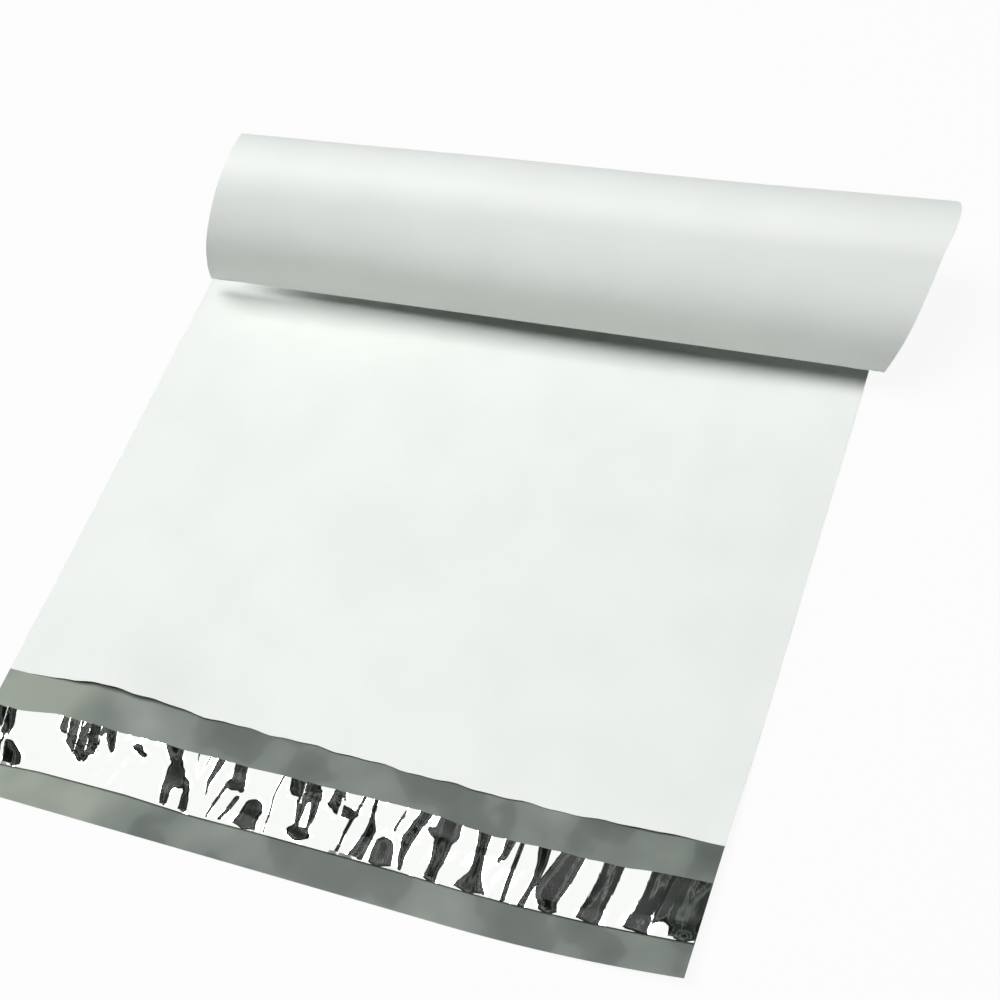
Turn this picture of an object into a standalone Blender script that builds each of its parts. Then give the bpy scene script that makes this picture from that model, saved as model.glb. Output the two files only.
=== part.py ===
# A flat poly mailer bag, lying face up with its flap open and its closed end rolled
# up and over towards the mouth.
#
# X runs along the mouth, +Y from the mouth to the closed end and +Z up. The origin is
# the middle of the stretch of the underside that lies flat. Sizes are in metres.

import bpy
import bmesh
import numpy as np
from math import cos, sin, pi
from mathutils import Vector

# The bag as it leaves the factory, pressed flat
bag_width = 0.3048
bag_length = 0.3937
flap_depth = 0.0519
film_thickness = 0.000075
pocket_gap = 0.0003
seal_width = 0.006
fold_depth = 0.0020

# The closure on the inner face of the flap, set in from the flap's free edge
liner_margin = 0.0132
liner_width = 0.0232
liner_thickness = 0.00005
liner_end_gap = 0.0002
adhesive_margin = 0.0025
adhesive_thickness = 0.00006
adhesive_end_gap = 0.003
layer_clearance = 0.0003

# How far from the mouth the bag lies flat before the closed end lifts
flat_length = 0.2188

# The roll: the heading of each side edge, in degrees above +Y, at equal stretches of it,
# and how fast that edge slides towards +X once it has left the ground
left_headings = (0, 63, 82, 107, 166, 232, 260, 274)
left_slides = (-0.17, 0.60, -0.12, -0.44)
right_headings = (0, 20, 72, 103, 156, 234, 242, 239)
right_slides = (0.65, 0.65, -0.14, -0.29)
steepest_slide = 0.7

# A low arch across the mouth near its left side: place along X, half width and height,
# and how soon it dies out along the panels and along the flap
arch_place = -0.098
arch_reach = 0.047
arch_height = 0.0060
arch_fade_length = 0.045
arch_flap_fade_length = 0.035

# The right corners of mouth and flap curl up: reach from the side edge, the heights, and
# how much less deep the flap is cut there
corner_reach = 0.0885
corner_mouth_height = 0.0038
corner_flap_height = 0.0060
corner_trim = 0.0036

# The front panel's mouth edge stands off the back panel between the side seals, most of
# all over the arch, and its slack carries it a little forward elsewhere
lip_height = 0.0008
lip_wave_count = 5
lip_arch_place = -0.090
lip_arch_reach = 0.045
lip_arch_height = 0.0020
lip_slack_place = 0.082
lip_slack_reach = 0.130
lip_slack = 0.0016
lip_fade_length = 0.030

# Crosswise puckers of the release liner
pucker_height = 0.0010
pucker_count = 26

# How finely the film is divided
columns = 28
flap_rows = 5
mouth_rows = 5
roll_rows = 30
liner_columns = 100
liner_rows = 4

outside_white = (0.83, 0.85, 0.84, 1.0)
inside_grey = (0.19, 0.21, 0.195, 1.0)
adhesive_clear = (0.62, 0.60, 0.52, 1.0)
liner_silver = (0.58, 0.60, 0.61, 1.0)

# The near edge of the liner, measured like all lengths from the mouth
liner_start = liner_margin - flap_depth

# Heights above the underside of the back panel
front_height = film_thickness + pocket_gap
adhesive_height = film_thickness + layer_clearance
liner_height = adhesive_height + adhesive_thickness + layer_clearance


def make_material(name, color, roughness):
    material = bpy.data.materials.new(name)
    material.use_nodes = True
    shader = material.node_tree.nodes["Principled BSDF"]
    shader.inputs["Base Color"].default_value = color
    shader.inputs["Roughness"].default_value = roughness
    shader.inputs["Metallic"].default_value = 0.0
    material.diffuse_color = color
    return material


def make_edge(headings, slides):
    # The path of one side edge through the roll: slide along X, distance in Y, height in Z
    share = np.linspace(0.0, 1.0, 401)
    heading = np.radians(np.interp(share, np.linspace(0, 1, len(headings)), headings))
    slide = np.interp(share, np.linspace(0, 1, len(slides)), slides)
    across = np.clip(slide * (1 - np.cos(heading)), -steepest_slide, steepest_slide)
    onward = np.sqrt(1 - across ** 2)
    speeds = np.stack([across, onward * np.cos(heading), onward * np.sin(heading)], 1)
    step = (bag_length - flat_length) / (len(share) - 1)
    middles = (speeds[1:] + speeds[:-1]) / 2
    return np.vstack([np.zeros(3), np.cumsum(middles, 0) * step])


left_edge = make_edge(left_headings, left_slides)
right_edge = make_edge(right_headings, right_slides)


def edge_point(edge, side, length):
    # A point of a side edge, at a length from the mouth
    start = Vector((side * bag_width / 2, min(length, flat_length) - flat_length / 2, 0.0))
    if length <= flat_length:
        return start
    share = (length - flat_length) / (bag_length - flat_length)
    places = np.linspace(0, 1, len(edge))
    return start + Vector([float(np.interp(share, places, edge[:, axis])) for axis in range(3)])


def fade(length, reach):
    # 1 at the mouth and on the flap, easing to 0 at the reach
    share = min(max(length / reach, 0.0), 1.0)
    return 1 - share * share * (3 - 2 * share)


def bump(offset, reach):
    share = min(abs(offset) / reach, 1.0)
    return (1 + cos(pi * share)) / 2


def corner_share(x):
    # 1 at the right side edge, easing to 0 where the corner starts to curl
    return min(max((x - bag_width / 2 + corner_reach) / corner_reach, 0.0), 1.0) ** 2


def film_lift(x, length):
    arch = arch_height * bump(x - arch_place, arch_reach)
    arch *= fade(length, arch_fade_length) * fade(-length, arch_flap_fade_length)
    rise = (corner_flap_height - corner_mouth_height) * min(max(-length / flap_depth, 0.0), 1.0)
    corner = corner_mouth_height * fade(length, arch_fade_length) + rise
    return arch + corner * corner_share(x)


def lip_hold(x):
    # The side seals hold the lip down and back
    share = min(abs(x) / (bag_width / 2 - seal_width), 1.0)
    return 1 - share ** 4


def lip_lift(x, length):
    waves = 0.6 + 0.4 * cos(2 * pi * lip_wave_count * x / bag_width)
    lift = lip_height * waves + lip_arch_height * bump(x - lip_arch_place, lip_arch_reach)
    return lift * lip_hold(x) * fade(length, lip_fade_length)


def lip_forward(x, length):
    slack = lip_slack * bump(x - lip_slack_place, lip_slack_reach)
    return slack * lip_hold(x) * fade(length, lip_fade_length)


def place(x, length, height):
    # Where a point of the flat bag goes: across, along from the mouth, above the underside
    across = x / bag_width + 0.5
    if length < 0:
        length *= 1 - corner_trim / flap_depth * corner_share(x)

    def on_sheet(reach):
        return edge_point(left_edge, -1, reach).lerp(edge_point(right_edge, 1, reach), across)

    point = on_sheet(length)
    if length <= flat_length:
        point.z += height + film_lift(x, length)
        return point
    step = min(0.001, length - flat_length)
    along = on_sheet(min(length + step, bag_length)) - on_sheet(length - step)
    side = edge_point(right_edge, 1, length) - edge_point(left_edge, -1, length)
    return point + side.cross(along).normalized() * height


def flap_lengths():
    return list(np.linspace(0, -flap_depth, flap_rows + 1))


def panel_lengths():
    # Where the rows of the panels lie, closer together where the film bends
    lengths = list(np.linspace(0, arch_fade_length, mouth_rows + 1))
    return lengths + list(np.linspace(flat_length, bag_length, roll_rows + 1))


def make_sheet(name, column_count, path, point_at, collection):
    # An open grid whose rows follow the path and whose columns run across the bag
    bm = bmesh.new()
    row_count = len(path) - 1
    bmesh.ops.create_grid(bm, x_segments=column_count, y_segments=row_count, size=0.5)
    for vert in bm.verts:
        across = vert.co.x
        row = round((vert.co.y + 0.5) * row_count)
        vert.co = point_at(across, path[row])
    mesh = bpy.data.meshes.new(name)
    bm.to_mesh(mesh)
    bm.free()
    sheet = bpy.data.objects.new(name, mesh)
    collection.objects.link(sheet)
    return sheet


def thicken(sheet, thickness):
    solidify = sheet.modifiers.new("film", "SOLIDIFY")
    solidify.thickness = thickness
    solidify.offset = 0
    sheet.data.shade_smooth()
    sheet.data.set_sharp_from_angle(angle=0.6)


def extrude_to(bm, faces, axis, value, keep=False):
    # Extrude the faces and bring their new corners to one value along one axis
    grown = bmesh.ops.extrude_face_region(bm, geom=faces)["geom"]
    if not keep:
        bmesh.ops.delete(bm, geom=faces, context="FACES")
    for vert in grown:
        if isinstance(vert, bmesh.types.BMVert):
            vert.co[axis] = value
    return [face for face in grown if isinstance(face, bmesh.types.BMFace)]


def mouth_faces(bm, low, high, half_width):
    # Faces in the plane of the mouth, between two heights and within a half width
    found = []
    for face in bm.faces:
        middle = face.calc_center_median()
        in_plane = all(abs(vert.co.y) < 1e-6 for vert in face.verts)
        if in_plane and low < middle.z < high and abs(middle.x) < half_width:
            found.append(face)
    return found


def make_flat_bag(bm):
    # The bag pressed flat: a slab three layers deep, its flap drawn out of the lowest
    # layer at the mouth and its pocket pushed into the middle one, between the seals
    inner_half = bag_width / 2 - seal_width
    lines = [-bag_width / 2] + list(np.linspace(-inner_half, inner_half, columns + 1)) + [bag_width / 2]
    rows = panel_lengths()
    bmesh.ops.create_grid(bm, x_segments=len(lines) - 1, y_segments=len(rows) - 1, size=0.5)
    for vert in bm.verts:
        column = round((vert.co.x + 0.5) * (len(lines) - 1))
        row = round((vert.co.y + 0.5) * (len(rows) - 1))
        vert.co = (lines[column], rows[row], 0.0)
    faces = extrude_to(bm, list(bm.faces), 2, film_thickness, keep=True)
    for height in (front_height, front_height + film_thickness):
        faces = extrude_to(bm, faces, 2, height)
    flap = mouth_faces(bm, 0, film_thickness, bag_width)
    for length in flap_lengths()[1:]:
        flap = extrude_to(bm, flap, 1, length)
    pocket = mouth_faces(bm, film_thickness, front_height, inner_half)
    for length in rows[1:-1] + [bag_length - fold_depth]:
        pocket = extrude_to(bm, pocket, 1, length)
    bmesh.ops.recalc_face_normals(bm, faces=list(bm.faces))


def round_fold(bm):
    # The folded end is a half round: its top and bottom edges draw back by its radius
    radius = (front_height + film_thickness) / 2
    for vert in bm.verts:
        if vert.co.y > bag_length - 1e-6 and not film_thickness / 2 < vert.co.z < front_height + film_thickness / 2:
            vert.co.y -= radius


def mark_inside(bm):
    # The film is grey within the pocket and on the inner face of the flap
    inner_half = bag_width / 2 - seal_width
    for face in bm.faces:
        middle = face.calc_center_median()
        on_flap = middle.y < 0 and face.normal.z > 0.5
        in_height = film_thickness / 2 < middle.z < front_height + film_thickness / 2
        in_pocket = in_height and 0 < middle.y < bag_length - fold_depth / 2 and abs(middle.x) < inner_half + 1e-6
        face.material_index = int(on_flap or in_pocket)


def split_panels(bm):
    # The same diagonal in every layer, so that the layers keep their distance once bent
    for face in list(bm.faces):
        if abs(face.normal.z) > 0.5 and len(face.verts) == 4:
            corners = sorted(face.verts, key=lambda vert: vert.co.x / bag_width + vert.co.y / bag_length)
            bmesh.utils.face_split(face, corners[0], corners[3])


def make_bag_film(collection):
    bm = bmesh.new()
    make_flat_bag(bm)
    mark_inside(bm)
    split_panels(bm)
    round_fold(bm)
    for vert in bm.verts:
        x, length, height = vert.co
        point = place(x, length, height)
        if length > -1e-6 and height > front_height - pocket_gap / 2:
            point.z += lip_lift(x, length)
            point.y -= lip_forward(x, length)
        vert.co = point
    mesh = bpy.data.meshes.new("bag_film")
    bm.to_mesh(mesh)
    bm.free()
    mesh.materials.append(make_material("white outside film", outside_white, 0.35))
    mesh.materials.append(make_material("grey inside film", inside_grey, 0.4))
    mesh.shade_smooth()
    mesh.set_sharp_from_angle(angle=0.6)
    film = bpy.data.objects.new("bag_film", mesh)
    collection.objects.link(film)
    return film


def make_adhesive_strip(collection):
    # Hot-melt adhesive band under the liner, a little narrower on every side
    near = liner_start + adhesive_margin
    far = liner_start + liner_width - adhesive_margin
    path = list(np.linspace(near, far, 3))
    length = bag_width - 2 * adhesive_end_gap
    middle = adhesive_height + adhesive_thickness / 2

    def point_at(across, reach):
        return place(across * length, reach, middle)

    strip = make_sheet("adhesive_strip", columns, path, point_at, collection)
    strip.data.materials.append(make_material("hot melt adhesive", adhesive_clear, 0.3))
    thicken(strip, adhesive_thickness)
    return strip


def make_release_liner(collection):
    # Peel-off strip over the adhesive, along the whole flap, puckered crosswise
    path = list(np.linspace(liner_start, liner_start + liner_width, liner_rows + 1))
    length = bag_width - 2 * liner_end_gap
    middle = liner_height + liner_thickness / 2

    def point_at(across, reach):
        x = across * length
        slant = (reach - liner_start) / liner_width
        turn = 2 * pi * pucker_count * across
        pucker = 0.5 + 0.3 * sin(turn + 1.9 * slant) + 0.2 * sin(1.618 * turn - 2.3 * slant)
        return place(x, reach, middle + pucker_height * pucker)

    liner = make_sheet("release_liner", liner_columns, path, point_at, collection)
    liner.data.materials.append(make_material("silver release liner", liner_silver, 0.15))
    thicken(liner, liner_thickness)
    return liner


def build():
    for old in list(bpy.data.objects):
        bpy.data.objects.remove(old)
    parts = bpy.data.collections.new("poly_mailer_bag")
    bpy.context.scene.collection.children.link(parts)
    make_bag_film(parts)
    make_adhesive_strip(parts)
    make_release_liner(parts)


build()
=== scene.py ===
# A white poly mailer bag lying face up: flap open, closed end rolled up and over.
# Metres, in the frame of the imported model: +X along the mouth, +Y to the closed end, +Z up.

import bpy
import math
import numpy as np
from mathutils import Matrix, Vector


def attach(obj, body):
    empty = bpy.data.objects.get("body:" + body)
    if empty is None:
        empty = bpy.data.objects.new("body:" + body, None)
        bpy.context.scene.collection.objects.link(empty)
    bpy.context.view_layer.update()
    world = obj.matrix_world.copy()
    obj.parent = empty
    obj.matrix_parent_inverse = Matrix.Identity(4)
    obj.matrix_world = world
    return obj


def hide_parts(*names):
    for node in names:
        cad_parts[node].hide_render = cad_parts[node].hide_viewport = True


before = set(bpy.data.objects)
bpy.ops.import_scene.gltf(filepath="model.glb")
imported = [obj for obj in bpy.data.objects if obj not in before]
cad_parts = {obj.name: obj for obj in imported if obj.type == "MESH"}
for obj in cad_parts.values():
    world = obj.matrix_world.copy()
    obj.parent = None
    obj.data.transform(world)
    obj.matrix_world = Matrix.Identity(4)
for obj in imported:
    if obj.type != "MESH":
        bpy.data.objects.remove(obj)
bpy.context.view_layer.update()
print("frame loaded")


def srgb(code):
    # sRGB hex to linear, with alpha
    parts = [int(code[k:k + 2], 16) / 255 for k in (1, 3, 5)]
    return tuple(c / 12.92 if c <= 0.04045 else ((c + 0.055) / 1.055) ** 2.4 for c in parts) + (1.0,)


def addNode(tree, kind, settings={}, links={}):
    # One node: settings name its properties or sockets, links join its sockets to others
    node = tree.nodes.new(kind)
    for key, value in settings.items():
        if isinstance(key, str) and hasattr(node, key):
            setattr(node, key, value)
        else:
            node.inputs[key].default_value = value
    for key, source in links.items():
        tree.links.new(source, node.inputs[key])
    return node


def newMaterial(name):
    material = bpy.data.materials.new(name)
    material.use_nodes = True
    tree = material.node_tree
    return material, tree, tree.nodes["Principled BSDF"]


def rampNode(tree, source, stops):
    # A colour ramp through (position, hex colour) stops
    ramp = addNode(tree, "ShaderNodeValToRGB", {}, {"Fac": source})
    elements = ramp.color_ramp.elements
    elements[0].position, elements[0].color = stops[0][0], srgb(stops[0][1])
    elements[1].position, elements[1].color = stops[-1][0], srgb(stops[-1][1])
    for position, code in stops[1:-1]:
        elements.new(position).color = srgb(code)
    return ramp


# The bag's own shape: pressed flat, then its closed end rolled

bag = dict(
    width=0.3048,
    length=0.3937,
    flap=0.0519,
    film=0.000075,        # thickness of one wall
    gap=0.0003,           # between the panels, inside the pocket
    sealGap=0.00003,      # between the panels, in the side welds
    seal=0.006,
    flatLength=0.2188,    # the bag lies flat this far from the mouth
    # degrees that each side edge has turned by, evenly spaced through the roll, and how
    # strongly it slides along X as it turns
    leftHeadings=(0, 63, 82, 107, 166, 232, 260, 274),
    leftSlides=(-0.17, 0.60, -0.12, -0.44),
    rightHeadings=(0, 20, 72, 103, 156, 234, 242, 239),
    rightSlides=(0.65, 0.65, -0.14, -0.29),
    steepestSlide=0.7,
    # an arch under the mouth and flap: place along X, half width, height
    arch=(-0.098, 0.047, 0.0060), archFade=0.045, archFlapFade=0.035,
    # the right corner curls up over this reach, this high at the mouth and at the flap's edge,
    # and the flap's edge draws in there
    cornerReach=0.0885, cornerMouth=0.0038, cornerFlap=0.0060, cornerTrim=0.0036,
    # the front panel's mouth edge lifts in waves and in two humps, given as the arch is, and
    # hangs slack in one place
    lipHeight=0.0008, lipWaves=5, lipFade=0.030,
    lipArch=(-0.099, 0.046, 0.0036), lipCorner=(0.140, 0.034, 0.0030),
    lipSlack=(0.082, 0.130, 0.0016), lipWiggle=0.0003,
    # the roll's face fills out: middle and reach in shares of the rolled length, left and right bulge
    belly=(0.86, 0.22, 0.0062, 0.0080),
    # its hanging edge sags this far at the left side, over this width, from this share of the roll on
    sag=(-0.0040, 0.0052, -0.0095), sagReach=0.22, sagStart=0.62,
    swell=0.00022, ripple=0.00004, rippleReach=0.018,   # slack waves, and short ones by the welds
    weldFade=0.012,       # the panels draw together over this width before each weld
    probe=0.0008,         # the way the film runs is read this far to either side
    pathSteps=400,        # along each side edge of the roll
    # columns between the welds and in each weld, and rows on the flap, by the mouth,
    # on the flat, in the roll and round the fold
    columns=100, weldColumns=3,
    flapRows=26, mouthRows=18, flatRows=37, rollRows=99, foldRows=8,
    rollLead=0.006,       # the roll's finer rows begin this far before it
)


def sidePath(headings, slides):
    # How one side edge runs through the roll: slide along X, way in Y, height in Z
    share = np.linspace(0, 1, bag["pathSteps"] + 1)
    heading = np.radians(np.interp(share, np.linspace(0, 1, len(headings)), headings))
    slide = np.interp(share, np.linspace(0, 1, len(slides)), slides)
    across = np.clip(slide * (1 - np.cos(heading)), -bag["steepestSlide"], bag["steepestSlide"])
    onward = np.sqrt(1 - across ** 2)
    speeds = np.stack([across, onward * np.cos(heading), onward * np.sin(heading)], 1)
    step = (bag["length"] - bag["flatLength"]) / bag["pathSteps"]
    return np.vstack([np.zeros(3), np.cumsum((speeds[1:] + speeds[:-1]) / 2, 0) * step])


leftPath = sidePath(bag["leftHeadings"], bag["leftSlides"])
rightPath = sidePath(bag["rightHeadings"], bag["rightSlides"])


def rollShare(length):
    # 0 where the roll begins, 1 at the closed end
    return np.clip((length - bag["flatLength"]) / (bag["length"] - bag["flatLength"]), 0, 1)


def onSheet(x, length):
    # The sheet's own surface, for arrays of places across and lengths from the mouth
    flat = bag["flatLength"]
    share = rollShare(length)
    weight = (x / bag["width"] + 0.5)[:, None]
    grid = np.linspace(0, 1, bag["pathSteps"] + 1)
    left = np.stack([np.interp(share, grid, leftPath[:, k]) for k in range(3)], 1)
    right = np.stack([np.interp(share, grid, rightPath[:, k]) for k in range(3)], 1)
    start = np.stack([x, np.minimum(length, flat) - flat / 2, np.zeros(len(x))], 1)
    return start + left * (1 - weight) + right * weight


def easeOut(share):
    # 1 up to share 0, falling smoothly to 0 at share 1
    share = np.clip(share, 0, 1)
    return 1 - share * share * (3 - 2 * share)


def hump(offset, reach):
    # 1 in the middle, falling smoothly to 0 at the reach
    return (1 + np.cos(np.pi * np.clip(np.abs(offset) / reach, 0, 1))) / 2


def cornerShare(x):
    # 1 at the right side edge, easing to 0 where the corner starts to curl
    return np.clip((x - bag["width"] / 2 + bag["cornerReach"]) / bag["cornerReach"], 0, 1) ** 2


def filmLift(x, length):
    # How high the arch and the curled corner lift the film off the flat
    b = bag
    place, reach, height = b["arch"]
    arch = height * hump(x - place, reach)
    arch *= easeOut(length / b["archFade"]) * easeOut(-length / b["archFlapFade"])
    rise = (b["cornerFlap"] - b["cornerMouth"]) * np.clip(-length / b["flap"], 0, 1)
    return arch + (b["cornerMouth"] * easeOut(length / b["archFade"]) + rise) * cornerShare(x)


def lipHold(x):
    # The side welds hold the front panel's mouth edge down and back
    return 1 - np.clip(np.abs(x) / (bag["width"] / 2 - bag["seal"]), 0, 1) ** 4


def lipLift(x, length):
    # How high the front panel's mouth edge stands off the back panel
    place, reach, height = bag["lipArch"]
    waves = 0.6 + 0.4 * np.cos(2 * np.pi * bag["lipWaves"] * x / bag["width"])
    lift = bag["lipHeight"] * waves + height * hump(x - place, reach)
    place, reach, height = bag["lipCorner"]
    lift += height * hump(x - place, reach)
    return lift * lipHold(x) * easeOut(length / bag["lipFade"])


def lipForward(x, length):
    # How far the mouth edge strays towards the flap, with waves 30 and 14 mm long
    place, reach, slack = bag["lipSlack"]
    wiggle = bag["lipWiggle"] * (np.sin(208 * x + 1.0) + 0.7 * np.sin(437 * x + 2.1))
    return (slack * hump(x - place, reach) + wiggle) * lipHold(x) * easeOut(length / bag["lipFade"])


def bellyOut(x, length):
    # How far the roll's face stands out from the plain roll
    place, reach, left, right = bag["belly"]
    return (left + (right - left) * (x / bag["width"] + 0.5)) * hump(rollShare(length) - place, reach)


def edgeSag(x, length):
    # How far each point moves as the left part of the hanging edge sags
    towardsEdge = (rollShare(length) - bag["sagStart"]) / (1 - bag["sagStart"])
    share = easeOut((x + bag["width"] / 2) / bag["sagReach"]) * (1 - easeOut(towardsEdge))
    return share[:, None] * np.array(bag["sag"])


def slackWaves(x, length):
    # Slack film is never quite flat: long shallow swells, always upwards, and ripples
    # 10 mm long by the welds. The waves are in radians for each metre
    swell = np.sin(21 * x + 9 * length + 0.8) * np.sin(17 * length - 6 * x)
    swell += 0.6 * np.sin(38 * x - 23 * length) + 1.6
    rim = np.clip((bag["width"] / 2 - np.abs(x)) / bag["rippleReach"], 0, 1)
    ripple = np.sin(620 * length + 40 * x) * (1 - rim) * np.clip(rim * 4, 0, 1)
    return bag["swell"] * swell + bag["ripple"] * ripple


def placeFilm(x, length, height):
    # Where points of the flat bag go, with height measured from the underside
    trim = 1 - bag["cornerTrim"] / bag["flap"] * cornerShare(x)
    length = np.where(length < 0, length * trim, length)
    point = onSheet(x, length)
    step = bag["probe"]
    after = onSheet(x, np.minimum(length + step, bag["length"]))
    before = onSheet(x, np.minimum(length - step, bag["length"] - step))
    along = after - before
    half = np.full(len(x), bag["width"] / 2)
    side = onSheet(half, length) - onSheet(-half, length)
    normal = np.cross(side, along)
    normal /= np.linalg.norm(normal, axis=1)[:, None]
    flat = length <= bag["flatLength"]
    normal[flat] = (0, 0, 1)
    point += normal * (height - bellyOut(x, length))[:, None] + edgeSag(x, length)
    point[:, 2] += filmLift(x, length)
    return point


def addGrid(name, columns, rows):
    # A flat grid of the given number of cells, and where each of its points lies in it
    bpy.ops.object.select_all(action="DESELECT")
    bpy.ops.mesh.primitive_grid_add(x_subdivisions=columns, y_subdivisions=rows, size=1)
    grid = bpy.context.object
    grid.name = grid.data.name = name
    places = np.zeros(len(grid.data.vertices) * 3)
    grid.data.vertices.foreach_get("co", places)
    places = places.reshape(-1, 3)
    column = np.rint((places[:, 0] + 0.5) * columns).astype(int)
    row = np.rint((places[:, 1] + 0.5) * rows).astype(int)
    return grid, column, row


def setPoints(grid, points, across, along):
    # Moves every point, and gives the grid a UV map in metres on the flat film
    grid.data.vertices.foreach_set("co", points.ravel())
    corners = np.zeros(len(grid.data.loops), int)
    grid.data.loops.foreach_get("vertex_index", corners)
    uv = np.stack([across[corners], along[corners]], 1)
    grid.data.uv_layers[0].data.foreach_set("uv", uv.ravel())
    grid.data.update()


def thicken(sheet, thickness, inside, rim):
    # A film's wall, applied, with its other face and its cut edge as further slots
    bpy.ops.object.select_all(action="DESELECT")
    bpy.context.view_layer.objects.active = sheet
    sheet.select_set(True)
    solid = sheet.modifiers.new("wall", "SOLIDIFY")
    solid.thickness = thickness
    solid.offset = 0
    solid.material_offset = inside
    solid.material_offset_rim = rim
    bpy.ops.object.modifier_apply(modifier=solid.name)
    bpy.ops.object.shade_smooth_by_angle(angle=math.radians(40))


def filmRows():
    # The whole film as one strip: flap, back panel, fold, front panel. Each row has its
    # length from the mouth, its height in the flat bag, whether it is the front panel, and
    # its distance along the strip
    b = bag
    middle = b["film"] / 2
    radius = (b["film"] + b["gap"]) / 2
    panel = np.concatenate([
        np.linspace(0, b["archFade"], b["mouthRows"] + 1)[:-1],
        np.linspace(b["archFade"], b["flatLength"] - b["rollLead"], b["flatRows"] + 1)[:-1],
        np.linspace(b["flatLength"] - b["rollLead"], b["length"] - radius, b["rollRows"] + 1),
    ])
    flap = np.linspace(-b["flap"], 0, b["flapRows"] + 1)[:-1]
    turn = np.radians(np.linspace(-90, 90, b["foldRows"] + 1))[1:-1]
    length = np.concatenate([flap, panel, b["length"] - radius + radius * np.cos(turn), panel[::-1]])
    height = np.concatenate([
        np.full(len(flap) + len(panel), middle),
        middle + radius + radius * np.sin(turn),
        np.full(len(panel), middle + 2 * radius),
    ])
    front = np.zeros(len(length))
    front[-len(panel):] = 1
    steps = np.hypot(np.diff(length), np.diff(height))
    return length, height, front, np.concatenate([[0], np.cumsum(steps)])


def filmColumns():
    # Places across the film, with extra ones in the welds
    inner = bag["width"] / 2 - bag["seal"]
    weldStep = bag["seal"] / bag["weldColumns"]
    weld = [bag["width"] / 2 - weldStep * k for k in range(bag["weldColumns"])]
    middle = np.linspace(-inner, inner, bag["columns"] + 1)
    return np.concatenate([[-w for w in weld], middle, weld[::-1]])


def makeFilm():
    length, height, front, strip = filmRows()
    across = filmColumns()
    film, column, row = addGrid("mailer_film", len(across) - 1, len(length) - 1)
    x, reach, level, isFront = across[column], length[row], height[row], front[row]
    # the panels draw together into the welds
    inner = bag["width"] / 2 - bag["seal"]
    weld = easeOut((inner - np.abs(x)) / bag["weldFade"])
    upper = level > bag["film"]
    level = np.where(upper, level - (bag["gap"] - bag["sealGap"]) * weld, level)
    level = level + slackWaves(x, reach)
    points = placeFilm(x, reach, level)
    points[:, 2] += lipLift(x, reach) * isFront
    points[:, 1] -= lipForward(x, reach) * isFront
    setPoints(film, points, x, strip[row])
    bpy.ops.object.mode_set(mode="EDIT")
    bpy.ops.mesh.select_all(action="SELECT")
    bpy.ops.mesh.flip_normals()   # the white outside faces down on the back panel
    bpy.ops.object.mode_set(mode="OBJECT")
    return film


film = makeFilm()
print("film placed")


# The film's two faces

filmLook = dict(
    whiteTones=[(0.35, "#EBEFEB"), (0.6, "#EEF2EE")],
    whiteRoughness=(0.45, 0.56),
    # the grey face's own tone, and paler tones for its patches of painted sheen
    greyAndSheenTones=[(0.40, "#4E5751"), (0.475, "#576059"), (0.505, "#67706A"),
               (0.60, "#727B73"), (0.88, "#959D92")],
    greyRoughness=0.34,
    paintedSheenDrift=(-0.140, -0.065, 0.46),     # painted sheen, paler towards the left end: from, to, and by how much
    lineScale=(9, 520, 1),                # die lines about 2 mm apart, running across the bag
    grainScale=1600,      # matte grain, 0.6 mm where the real one is finer, so that it shows
    patchScale=26,        # hazy patches about 40 mm across
    grainStrength=0.12, lineStrength=0.25, bumpHeight=0.0001,
    filmIor=1.51,         # polyethylene
    specular=0.3,         # duller than most plastic, as matte blown film is
)


def filmGrain(tree, uv):
    # The matte grain that both faces share, as a bumped normal
    look = filmLook
    grain = addNode(tree, "ShaderNodeTexNoise", {"Scale": look["grainScale"], "Detail": 2.0},
                    {"Vector": uv})
    fine = addNode(tree, "ShaderNodeBump",
                   {"Strength": look["grainStrength"], "Distance": look["bumpHeight"]},
                   {"Height": grain.outputs["Fac"]})
    return fine.outputs["Normal"]


def makeWhiteFilm():
    # White LDPE face, blown film: even satin white, with very faint die lines and haze
    look = filmLook
    material, tree, shader = newMaterial("white LDPE, blown film outside")
    uv = addNode(tree, "ShaderNodeUVMap").outputs["UV"]
    lines = addNode(tree, "ShaderNodeMapping", {"Scale": look["lineScale"]}, {"Vector": uv})
    streak = addNode(tree, "ShaderNodeTexNoise", {"Scale": 1.0, "Detail": 3.0},
                     {"Vector": lines.outputs[0]})
    patchNoise = addNode(tree, "ShaderNodeTexNoise", {"Scale": look["patchScale"], "Detail": 2.0},
                   {"Vector": uv})
    tone = rampNode(tree, patchNoise.outputs["Fac"], look["whiteTones"])
    tree.links.new(tone.outputs["Color"], shader.inputs["Base Color"])
    smoothest, roughest = look["whiteRoughness"]
    rough = addNode(tree, "ShaderNodeMapRange", {"To Min": smoothest, "To Max": roughest},
                    {"Value": streak.outputs["Fac"]})
    tree.links.new(rough.outputs["Result"], shader.inputs["Roughness"])
    drawn = addNode(tree, "ShaderNodeBump",
                    {"Strength": look["lineStrength"], "Distance": look["bumpHeight"]},
                    {"Height": streak.outputs["Fac"], "Normal": filmGrain(tree, uv)})
    tree.links.new(drawn.outputs["Normal"], shader.inputs["Normal"])
    shader.inputs["IOR"].default_value = look["filmIor"]
    shader.inputs["Specular IOR Level"].default_value = look["specular"]
    return material


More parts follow.
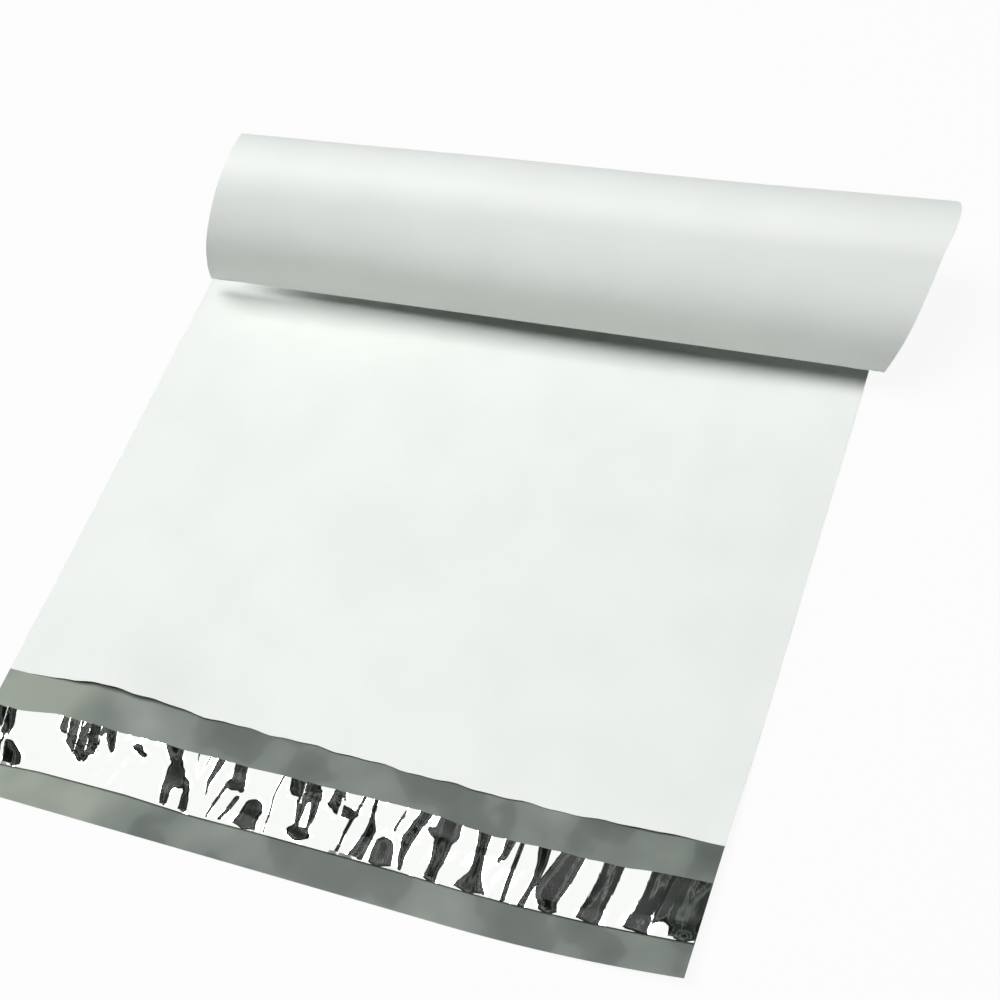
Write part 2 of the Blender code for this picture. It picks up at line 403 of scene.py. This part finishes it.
def makeGreyFilm():
    # Grey LDPE face, the same film's inner layer: satin, with soft paler patches of painted sheen, and
    # more painted sheen towards the left end
    look = filmLook
    material, tree, shader = newMaterial("grey LDPE, blown film inside")
    uv = addNode(tree, "ShaderNodeUVMap").outputs["UV"]
    # noise for the soft paler patches, which are painted sheen
    patchNoise = addNode(tree, "ShaderNodeTexNoise",
                   {"Scale": look["patchScale"], "Detail": 2.5, "Roughness": 0.45}, {"Vector": uv})
    across = addNode(tree, "ShaderNodeSeparateXYZ", {}, {0: uv}).outputs["X"]
    # painted sheen: the tone is raised towards the left end
    start, end, sheenGain = look["paintedSheenDrift"]
    paintedSheen = addNode(tree, "ShaderNodeMapRange",
                    {"From Min": start, "From Max": end, "To Min": sheenGain, "To Max": 0.0},
                    {"Value": across})
    level = addNode(tree, "ShaderNodeMath", {"operation": "ADD"},
                    {0: patchNoise.outputs["Fac"], 1: paintedSheen.outputs["Result"]})
    tone = rampNode(tree, level.outputs[0], look["greyAndSheenTones"])
    tree.links.new(tone.outputs["Color"], shader.inputs["Base Color"])
    tree.links.new(filmGrain(tree, uv), shader.inputs["Normal"])
    shader.inputs["Roughness"].default_value = look["greyRoughness"]
    shader.inputs["IOR"].default_value = look["filmIor"]
    shader.inputs["Specular IOR Level"].default_value = look["specular"]
    return material


film.data.materials.append(makeWhiteFilm())
film.data.materials.append(makeGreyFilm())
thicken(film, bag["film"], 1, 0)
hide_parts("bag_film")
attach(film, "root")
print("film finished", len(film.data.polygons))


# The closure on the flap: an adhesive band under a peel-off liner

closure = dict(
    linerMargin=0.0132,      # from the flap's free edge
    linerWidth=0.0232,
    linerThickness=0.00005,
    endGap=0.0002,
    adhesiveMargin=0.0025,   # from each long edge of the liner
    adhesiveThickness=0.00006,
    adhesiveEndGap=0.003,
    clearance=0.0003,        # between the film and the liner
    adhesiveColumns=120, adhesiveRows=8,
    columns=1200, rows=32,
    # from here on in mm, measured on the liner
    # how steeply creases fall: (along, slope)
    tilts=[(0, 0.46), (30, 0.42), (60, 0.38), (86, 0.30), (304, 0.28)],
    creaseWiden=1.18, creaseExtra=0.15,    # a crease's slope spreads past its listed half width
    creaseEnd=1.8,           # and this far past its end points
    creaseCrown=1.25,        # and is this much steeper in its middle
    pleatSpacing=4.6, pleatWidth=0.26,     # crease that each step makes up for, and within what width
    wander=(0.03, 0.9, 0.35),              # slope between creases, and its waves along and across
    settle=16.0,             # the liner comes back to the film over this length
    blurRows=1.2,            # rows over which the relief is evened out
    lowReach=20, lowBlur=8,  # the lowest place within this reach goes down to the film
    # how far each long edge strays towards the mouth: (along, stray)
    mouthEdge=[(0, -0.9), (13, -0.9), (33, 0.6), (60, -0.2), (93, 0.6), (137, 0.4), (184, 0.9),
               (203, 0.4), (223, -1.2), (248, -0.8), (274, -1.0), (304, 0.3)],
    freeEdge=[(0, -0.8), (17, -0.8), (36, 0.3), (76, 0.7), (105, -0.2), (134, 0.2), (191, 0.4),
              (220, 0), (304, -0.2)],
    pressed=0.8, edgeHeight=0.85,          # the free edge is pressed down over this width, to this height
    # it curls up beside the free edge: place along, reach and strength, and from what share across
    curl=(76, 78, 1.2), curlFrom=0.45,
)

# Creases that fall towards +X, in mm along the liner and across it from the mouth side:
# (across, along, half width) at each of their points, from one end to the other
creases = [
    [(0, 8.5, 6.5), (5, 11, 5.5), (10, 13.5, 2.4)],
    [(13.5, 16, 3.5), (17, 19, 6.5), (23.5, 21.5, 6.5)],
    [(0, 41.5, 7.5), (5.4, 41.5, 6.4)],
    [(0, 53.5, 6.4), (5.4, 51.5, 6.2)],
    [(7.2, 46, 7.0), (9.5, 47.5, 6.4), (12, 50, 4.6), (14, 51.5, 2.4)],
    [(7.0, 55.5, 3.0), (9.6, 55, 2.2)],
    [(0, 60.5, 1.8), (4, 61.5, 2.4), (7, 63, 1.4)],
    [(4.4, 73, 3.0), (5.8, 77.0, 3.0)],
    [(0, 88, 4.2), (3, 89.5, 3.4), (6, 92, 4.2), (10.5, 94, 6.4), (14.5, 95.5, 6.0)],
    [(11, 92, 3.0), (17, 92, 2.6), (23.5, 93.5, 1.8)],
    [(11, 98, 3.0), (17, 100.5, 2.4), (23.5, 102.5, 3.0)],
    [(0, 98.5, 0.5), (6, 100.5, 0.5), (8.4, 102, 0.7), (4, 103.6, 0.5), (0, 104, 0.5)],
    [(0, 109, 2.2), (6, 108.2, 2.0), (10, 107.2, 1.5), (14.5, 108.5, 0.5)],
    [(0, 117.5, 3.4), (6, 118.8, 3.8), (10, 118.5, 4.2)],
    [(6.2, 113, 1.6), (6.4, 115, 1.6)],
    [(7, 117, 2.2), (11, 114.8, 1.4), (17, 113.6, 0.9), (23.5, 112.5, 0.8)],
    [(7, 120.5, 2.2), (12, 121.8, 1.6), (19, 120, 1.4), (23.5, 117.5, 1.4)],
    [(11.8, 128.8, 4.2), (16, 129.4, 5.8), (23.5, 128.4, 7.0)],
    [(0, 136.6, 0.5), (9, 135.6, 0.45), (22, 137, 0.45)],
    [(0, 145.5, 7.4), (3.5, 146.5, 7.6), (6.4, 147.5, 7.4)],
    [(3, 146.0, 3.2), (10, 147.8, 1.9), (16, 148.6, 0.9)],
    [(3, 152, 2.6), (10, 153, 1.5), (15, 153.3, 0.7)],
    [(18.0, 149.5, 6.6), (20.8, 151, 6.6)],
    [(1, 160.3, 2.6), (4.4, 161.0, 3.6), (6.4, 163, 8.0), (8.0, 165.5, 6.6)],
    [(0, 170.6, 0.55), (10, 168.8, 0.6), (23.5, 168, 0.8)],
    [(0, 175.2, 0.7), (7, 176.2, 1.0), (11, 177.8, 1.8), (15, 177.5, 2.4), (23.5, 175.5, 3.8)],
    [(14, 184.5, 3.4), (18, 185, 4.8), (23.5, 185.4, 5.6)],
    [(2.5, 188.3, 0.45), (8.5, 186.4, 0.7)],
    [(0, 196.4, 2.4), (6, 194.2, 2.4), (10.4, 192.6, 2.3), (17.5, 192, 1.4), (23.5, 193.5, 0.5)],
    [(0, 206, 4.6), (5.6, 206, 5.4), (7.6, 205.5, 3.4), (14, 206, 2.6), (19, 205.5, 2.0),
     (23.5, 205.5, 3.0)],
    [(5.8, 199.5, 2.2), (6.4, 201.5, 2.2)],
    [(0, 219.5, 2.8), (8, 220.6, 1.7), (15.5, 221.2, 2.0), (20, 221, 4.8), (23.5, 221, 7.2)],
    [(0, 230, 2.0), (6.5, 229.5, 1.2), (8.0, 228, 0.8)],
    [(0, 234.3, 0.8), (11, 234.2, 0.8), (23.5, 234, 0.9)],
    [(0, 243, 2.6), (6, 244, 2.0), (12, 243.6, 1.2), (18, 242.4, 0.9), (23.5, 241, 1.4)],
    [(0, 254.4, 5.4), (8, 252.2, 6.0), (16, 250.0, 5.6), (19, 249.4, 4.2)],
    [(20.5, 251, 3.6), (23.5, 251.5, 3.8)],
    [(0, 270, 7.4), (8, 269.4, 7.6), (16, 268, 7.2), (23.5, 267, 6.8)],
    [(0, 287.4, 9.2), (8, 286.2, 9.0), (16, 283.8, 9.0), (23.5, 282.4, 8.4)],
    [(0, 300, 9.0), (8, 298, 10.0), (17.5, 297, 9.5), (20, 299.8, 6.6), (23.5, 299.8, 6.2)],
    [(0, 294, 4.5), (17.5, 290.5, 4.5)],
]

# Where a wide crease is really several, each stepping back up behind the next:
# (across, along) at the two ends of every step
pleats = [
    [(0, 9), (10.5, 12)],
    [(13, 14.5), (23.5, 19)],
    [(0, 40), (6.6, 41.5)],
    [(0, 45.5), (13, 47.5)],
    [(0, 51), (14, 52)],
    [(0, 56), (8, 56.5)],
    [(0, 146), (7, 147.2)],
    [(4, 162), (9, 164)],
]


def smooth(values, spread):
    # A running average along the last axis, by a bell curve
    reach = int(3 * spread) + 1
    bell = np.exp(-0.5 * (np.arange(-reach, reach + 1) / spread) ** 2)
    bell /= bell.sum()
    padded = np.pad(values, [(0, 0)] * (values.ndim - 1) + [(reach, reach)], mode="edge")
    return np.apply_along_axis(lambda line: np.convolve(line, bell, "valid"), -1, padded)


def creaseMap(along, across):
    # How steeply each place falls, in shares of the tilt: most in a crease's middle, 0 outside
    c = closure
    inside = np.zeros((len(across), len(along)))
    for crease in creases:
        for (t0, s0, w0), (t1, s1, w1) in zip(crease[:-1], crease[1:]):
            for k, t in enumerate(across):
                beyond = max(min(t0, t1) - t, t - max(t0, t1), 0)
                share = min(max((t - t0) / (t1 - t0), 0), 1)
                half = c["creaseWiden"] * (w0 + (w1 - w0) * share) + c["creaseExtra"]
                offset = np.hypot((along - (s0 + (s1 - s0) * share)) / half, beyond / c["creaseEnd"])
                crown = np.clip(1 - offset ** 2, 0, 1) * c["creaseCrown"]
                inside[k] = np.maximum(inside[k], crown)
    return inside


def pleatMap(along, across):
    # How much of each place steps back up: 1 along a pleat, 0 elsewhere
    stepping = np.zeros((len(across), len(along)))
    for (t0, s0), (t1, s1) in pleats:
        for k, t in enumerate(across):
            if t0 <= t <= t1:
                offset = (along - (s0 + (s1 - s0) * (t - t0) / (t1 - t0))) / closure["pleatWidth"]
                stepping[k] = np.maximum(stepping[k], np.clip(1 - np.abs(offset), 0, 1))
    return stepping


def linerRelief(columns, rows):
    # Heights of the puckers over the liner, by summing the creases' slopes along it
    c = closure
    span = (bag["width"] - 2 * c["endGap"]) * 1000
    along = np.linspace(0, span, columns + 1)
    across = np.linspace(0, c["linerWidth"] * 1000, rows + 1)
    step = along[1] - along[0]
    falling = creaseMap(along, across)
    depth, wavesAlong, wavesAcross = c["wander"]
    wander = depth * np.sin(wavesAlong * along[None, :] + wavesAcross * across[:, None])
    tilt = np.interp(along, *zip(*c["tilts"]))[None, :]
    slope = -tilt * falling + wander * (1 - falling)
    stepping = pleatMap(along, across) * falling * tilt
    slope += stepping * c["pleatSpacing"] / c["pleatWidth"]
    height = np.cumsum(slope, 1) * step
    height -= smooth(height, c["settle"] / step)
    height = smooth(height.T, c["blurRows"]).T
    low = height.min(0)
    near = int(c["lowReach"] / step)
    low = np.array([low[max(k - near, 0):k + near + 1].min() for k in range(columns + 1)])
    height -= smooth(low, c["lowBlur"] / step)
    height -= height.min()
    pressed = np.clip((across - across[-1] + c["pressed"]) / c["pressed"], 0, 1)[:, None]
    height += (c["edgeHeight"] - height) * pressed
    place, reach, curl = c["curl"]
    lifted = np.clip(across / across[-1] - c["curlFrom"], 0, 1)[:, None] ** 2
    height += curl * hump(along - place, reach)[None, :] * lifted
    return height / 1000


def makeAdhesive():
    # A thin band between the film and the liner
    c = closure
    near = c["linerMargin"] - bag["flap"] + c["adhesiveMargin"]
    wide = c["linerWidth"] - 2 * c["adhesiveMargin"]
    strip, column, row = addGrid("adhesive_band", c["adhesiveColumns"], c["adhesiveRows"])
    x = (column / c["adhesiveColumns"] - 0.5) * (bag["width"] - 2 * c["adhesiveEndGap"])
    reach = near + wide * row / c["adhesiveRows"]
    level = bag["film"] + c["clearance"] / 2 + c["adhesiveThickness"] / 2 + slackWaves(x, reach)
    setPoints(strip, placeFilm(x, reach, level), x, reach)
    return strip


def makeLiner():
    # The peel-off strip, with strayed long edges and its creases in relief
    c = closure
    near = c["linerMargin"] - bag["flap"]
    liner, column, row = addGrid("peel_off_liner", c["columns"], c["rows"])
    x = (column / c["columns"] - 0.5) * (bag["width"] - 2 * c["endGap"])
    share = row / c["rows"]
    reach = near + c["linerWidth"] * share
    along = (x + bag["width"] / 2) * 1000
    mouthStray = np.interp(along, *zip(*c["mouthEdge"])) * share
    freeStray = np.interp(along, *zip(*c["freeEdge"])) * (1 - share)
    reach += (mouthStray + freeStray) / 1000
    relief = linerRelief(c["columns"], c["rows"])[c["rows"] - row, column]
    base = bag["film"] + c["adhesiveThickness"] + c["clearance"]
    level = base + relief + slackWaves(x, reach)
    setPoints(liner, placeFilm(x, reach, level), x, reach)
    return liner


closureLook = dict(
    adhesiveTones=[(0.3, "#A8A48E"), (0.7, "#BDB9A4")], adhesiveRoughness=0.22, adhesiveIor=1.48,
    ropeScale=(30, 900, 1), ropeStrength=0.4,            # ropes about 1 mm apart, running across the bag
    linerColour="#F8FAF7", linerRoughness=0.045,
    puckerScale=(420, 130, 1), puckerStrength=0.15,      # fine puckers, about 2.4 by 8 mm
    bumpHeight=0.0002,
)


def bumpedNoise(tree, shader, scale, strength):
    # Drawn-out noise along the strip, set as the shader's bump, for its colour to follow too
    uv = addNode(tree, "ShaderNodeUVMap").outputs["UV"]
    stretched = addNode(tree, "ShaderNodeMapping", {"Scale": scale}, {"Vector": uv})
    noise = addNode(tree, "ShaderNodeTexNoise", {"Scale": 1.0, "Detail": 2.0},
                    {"Vector": stretched.outputs[0]})
    bump = addNode(tree, "ShaderNodeBump", {"Strength": strength, "Distance": closureLook["bumpHeight"]},
                   {"Height": noise.outputs["Fac"]})
    tree.links.new(bump.outputs["Normal"], shader.inputs["Normal"])
    return noise.outputs["Fac"]


def makeAdhesiveMaterial():
    # Hot-melt adhesive, slot-coated: yellowish clear, wet gloss, slightly ropy
    look = closureLook
    material, tree, shader = newMaterial("hot-melt adhesive, slot coated")
    noise = bumpedNoise(tree, shader, look["ropeScale"], look["ropeStrength"])
    tone = rampNode(tree, noise, look["adhesiveTones"])
    tree.links.new(tone.outputs["Color"], shader.inputs["Base Color"])
    shader.inputs["Roughness"].default_value = look["adhesiveRoughness"]
    shader.inputs["IOR"].default_value = look["adhesiveIor"]
    return material


def makeLinerMaterial():
    # Vacuum-metallised, siliconised film: a limp mirror whose puckers break up what it shows
    look = closureLook
    material, tree, shader = newMaterial("metallised film, siliconised")
    bumpedNoise(tree, shader, look["puckerScale"], look["puckerStrength"])
    shader.inputs["Base Color"].default_value = srgb(look["linerColour"])
    shader.inputs["Metallic"].default_value = 1.0
    shader.inputs["Roughness"].default_value = look["linerRoughness"]
    return material


adhesive = makeAdhesive()
adhesive.data.materials.append(makeAdhesiveMaterial())
thicken(adhesive, closure["adhesiveThickness"], 0, 0)
liner = makeLiner()
liner.data.materials.append(makeLinerMaterial())
thicken(liner, closure["linerThickness"], 0, 0)
for piece, node, slot in ((adhesive, "adhesive_strip", "adhesive"), (liner, "release_liner", "liner")):
    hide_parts(node)
    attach(piece, "root")
print("closure finished", len(liner.data.polygons))


# Studio: pale floor, white surround, one large soft lamp, and a card of painted reflections that only
# mirrors see

studio = dict(
    floorSize=8, floorDrop=0.0004,         # the floor lies this far below the bag
    floorColour="#DADCDA", floorRoughness=0.9, floorSpecular=0.1,
    floorWhiteness=0.93,     # how much of the floor's own tone gives way to white, where it is seen
    worldStrength=0.03,      # what the surround adds as light; seen directly it is white
    lampPlace=(-0.46, -0.07, 2.35), lampSize=1.45, lampPower=60.5,
    cardHeight=1.2, cardLeft=-0.42, cardRight=1.8, cardNear=-1.6, cardFar=2.6,
    # the painted reflections that the card shows from left to right, dark bands with a few pale lines:
    # metres along X, and its tone
    paintedReflectionTones=[(-0.42, "#101211"), (-0.35, "#151716"), (-0.29, "#1E211F"), (-0.262, "#262A27"),
               (-0.255, "#8C918D"), (-0.248, "#262A27"), (-0.19, "#303431"), (-0.12, "#212522"),
               (-0.075, "#585E59"), (-0.04, "#242825"), (-0.017, "#1E211F"), (-0.010, "#868C87"),
               (-0.003, "#1E211F"), (0.06, "#0C0E0D"), (0.11, "#1A1D1B"), (0.16, "#2E332F"),
               (0.20, "#565D57"), (0.24, "#1E211F"), (0.40, "#1E2221"), (1.0, "#1C2120")],
    cardStray=0.10, cardPatches=5.0,       # its tones stray this far, in patches 0.2 m across
)


def seenStraight(tree):
    # 1 for rays that see a surface themselves, in a mirror or through glass; 0 for its light
    path = addNode(tree, "ShaderNodeLightPath")
    seen = addNode(tree, "ShaderNodeMath", {"operation": "MAXIMUM"},
                   {0: path.outputs["Is Camera Ray"], 1: path.outputs["Is Glossy Ray"]})
    return addNode(tree, "ShaderNodeMath", {"operation": "MAXIMUM"},
                   {0: seen.outputs[0], 1: path.outputs["Is Transmission Ray"]}).outputs[0]


def makeFloor():
    # A wide sheet of paper that takes the bag's shadow
    bpy.ops.object.select_all(action="DESELECT")
    bpy.ops.mesh.primitive_plane_add(size=studio["floorSize"], location=(0, 0, -studio["floorDrop"]))
    floor = bpy.context.object
    floor.name = "studio_floor"
    material, tree, shader = newMaterial("white studio paper")
    shader.inputs["Base Color"].default_value = srgb(studio["floorColour"])
    shader.inputs["Roughness"].default_value = studio["floorRoughness"]
    shader.inputs["Specular IOR Level"].default_value = studio["floorSpecular"]
    share = addNode(tree, "ShaderNodeMath", {"operation": "MULTIPLY", 1: studio["floorWhiteness"]},
                    {0: seenStraight(tree)})
    paper = addNode(tree, "ShaderNodeEmission", {"Color": (1, 1, 1, 1), "Strength": 1.0})
    mix = addNode(tree, "ShaderNodeMixShader", {},
                  {0: share.outputs[0], 1: shader.outputs[0], 2: paper.outputs[0]})
    tree.links.new(mix.outputs[0], tree.nodes["Material Output"].inputs["Surface"])
    floor.data.materials.append(material)
    return floor


def makeCard():
    # A sheet of painted reflections for mirrors only: dark bands and a few pale lines that the liner
    # shows as streaks
    s = studio
    middle = ((s["cardRight"] + s["cardLeft"]) / 2, (s["cardFar"] + s["cardNear"]) / 2, s["cardHeight"])
    bpy.ops.object.select_all(action="DESELECT")
    bpy.ops.mesh.primitive_plane_add(size=1, location=middle)
    card = bpy.context.object
    card.name = "painted_reflection_card"
    card.scale = (s["cardRight"] - s["cardLeft"], s["cardFar"] - s["cardNear"], 1)
    bpy.ops.object.transform_apply(location=True, rotation=True, scale=True)
    material, tree, shader = newMaterial("painted reflection card")
    place = addNode(tree, "ShaderNodeTexCoord").outputs["Object"]
    noise = addNode(tree, "ShaderNodeTexNoise", {"Scale": s["cardPatches"], "Detail": 2.0},
                    {"Vector": place})
    across = addNode(tree, "ShaderNodeSeparateXYZ", {}, {0: place}).outputs["X"]
    stray = addNode(tree, "ShaderNodeMath",
                    {"operation": "MULTIPLY_ADD", 1: s["cardStray"], 2: -s["cardStray"] / 2},
                    {0: noise.outputs["Fac"]})
    bent = addNode(tree, "ShaderNodeMath", {"operation": "ADD"}, {0: across, 1: stray.outputs[0]})
    first, last = s["paintedReflectionTones"][0][0], s["paintedReflectionTones"][-1][0]
    share = addNode(tree, "ShaderNodeMapRange", {"From Min": first, "From Max": last},
                    {"Value": bent.outputs[0]})
    stops = [((x - first) / (last - first), code) for x, code in s["paintedReflectionTones"]]
    tone = rampNode(tree, share.outputs["Result"], stops)
    # the card glows with its painted reflection tones; only glossy rays see it, so it lights nothing and
    # casts no shadow
    glow = addNode(tree, "ShaderNodeEmission", {"Strength": 1.0}, {"Color": tone.outputs["Color"]})
    tree.links.new(glow.outputs[0], tree.nodes["Material Output"].inputs["Surface"])
    card.data.materials.append(material)
    for ray in ("camera", "diffuse", "shadow", "transmission", "volume_scatter"):
        setattr(card, "visible_" + ray, False)
    return card


def makeWorld():
    # White where it is seen, and only a little light from it
    world = bpy.data.worlds.new("white surround")
    bpy.context.scene.world = world
    world.use_nodes = True
    tree = world.node_tree
    strength = addNode(tree, "ShaderNodeMapRange", {"To Min": studio["worldStrength"], "To Max": 1.0},
                       {"Value": seenStraight(tree)})
    background = tree.nodes["Background"]
    background.inputs["Color"].default_value = (1, 1, 1, 1)
    tree.links.new(strength.outputs["Result"], background.inputs["Strength"])


def makeLamp(name, place, size, power):
    # A square softbox that faces the origin
    lamp = bpy.data.lights.new(name, "AREA")
    lamp.shape = "SQUARE"
    lamp.size = size
    lamp.energy = power
    holder = bpy.data.objects.new(name, lamp)
    bpy.context.collection.objects.link(holder)
    holder.location = place
    holder.rotation_euler = (-Vector(place)).to_track_quat("-Z", "Y").to_euler()


view = dict(
    lens=62.64, sensor=36,
    azimuth=39.3854, elevation=55.0333, roll=-23.3157,     # degrees
    target=(0.02345, 0.00996, 0.0), distance=0.70246,
    clip=(0.01, 50),
)


def makeCamera():
    turn, rise, roll = (math.radians(view[k]) for k in ("azimuth", "elevation", "roll"))
    forward = Vector((-math.sin(turn) * math.cos(rise), math.cos(turn) * math.cos(rise), -math.sin(rise)))
    right = forward.cross(Vector((0, 0, 1))).normalized()
    up = right.cross(forward)
    side = right * math.cos(roll) + up * math.sin(roll)
    top = up * math.cos(roll) - right * math.sin(roll)
    lens = bpy.data.cameras.new("view")
    lens.lens, lens.sensor_width = view["lens"], view["sensor"]
    lens.clip_start, lens.clip_end = view["clip"]
    camera = bpy.data.objects.new("view", lens)
    bpy.context.collection.objects.link(camera)
    place = Matrix((side, top, -forward)).transposed().to_4x4()
    place.translation = Vector(view["target"]) - forward * view["distance"]
    camera.matrix_world = place
    bpy.context.scene.camera = camera


makeFloor()
makeCard()
makeWorld()
makeLamp("overhead softbox", studio["lampPlace"], studio["lampSize"], studio["lampPower"])
makeCamera()
bpy.context.scene.view_settings.view_transform = "Standard"
print("studio ready")
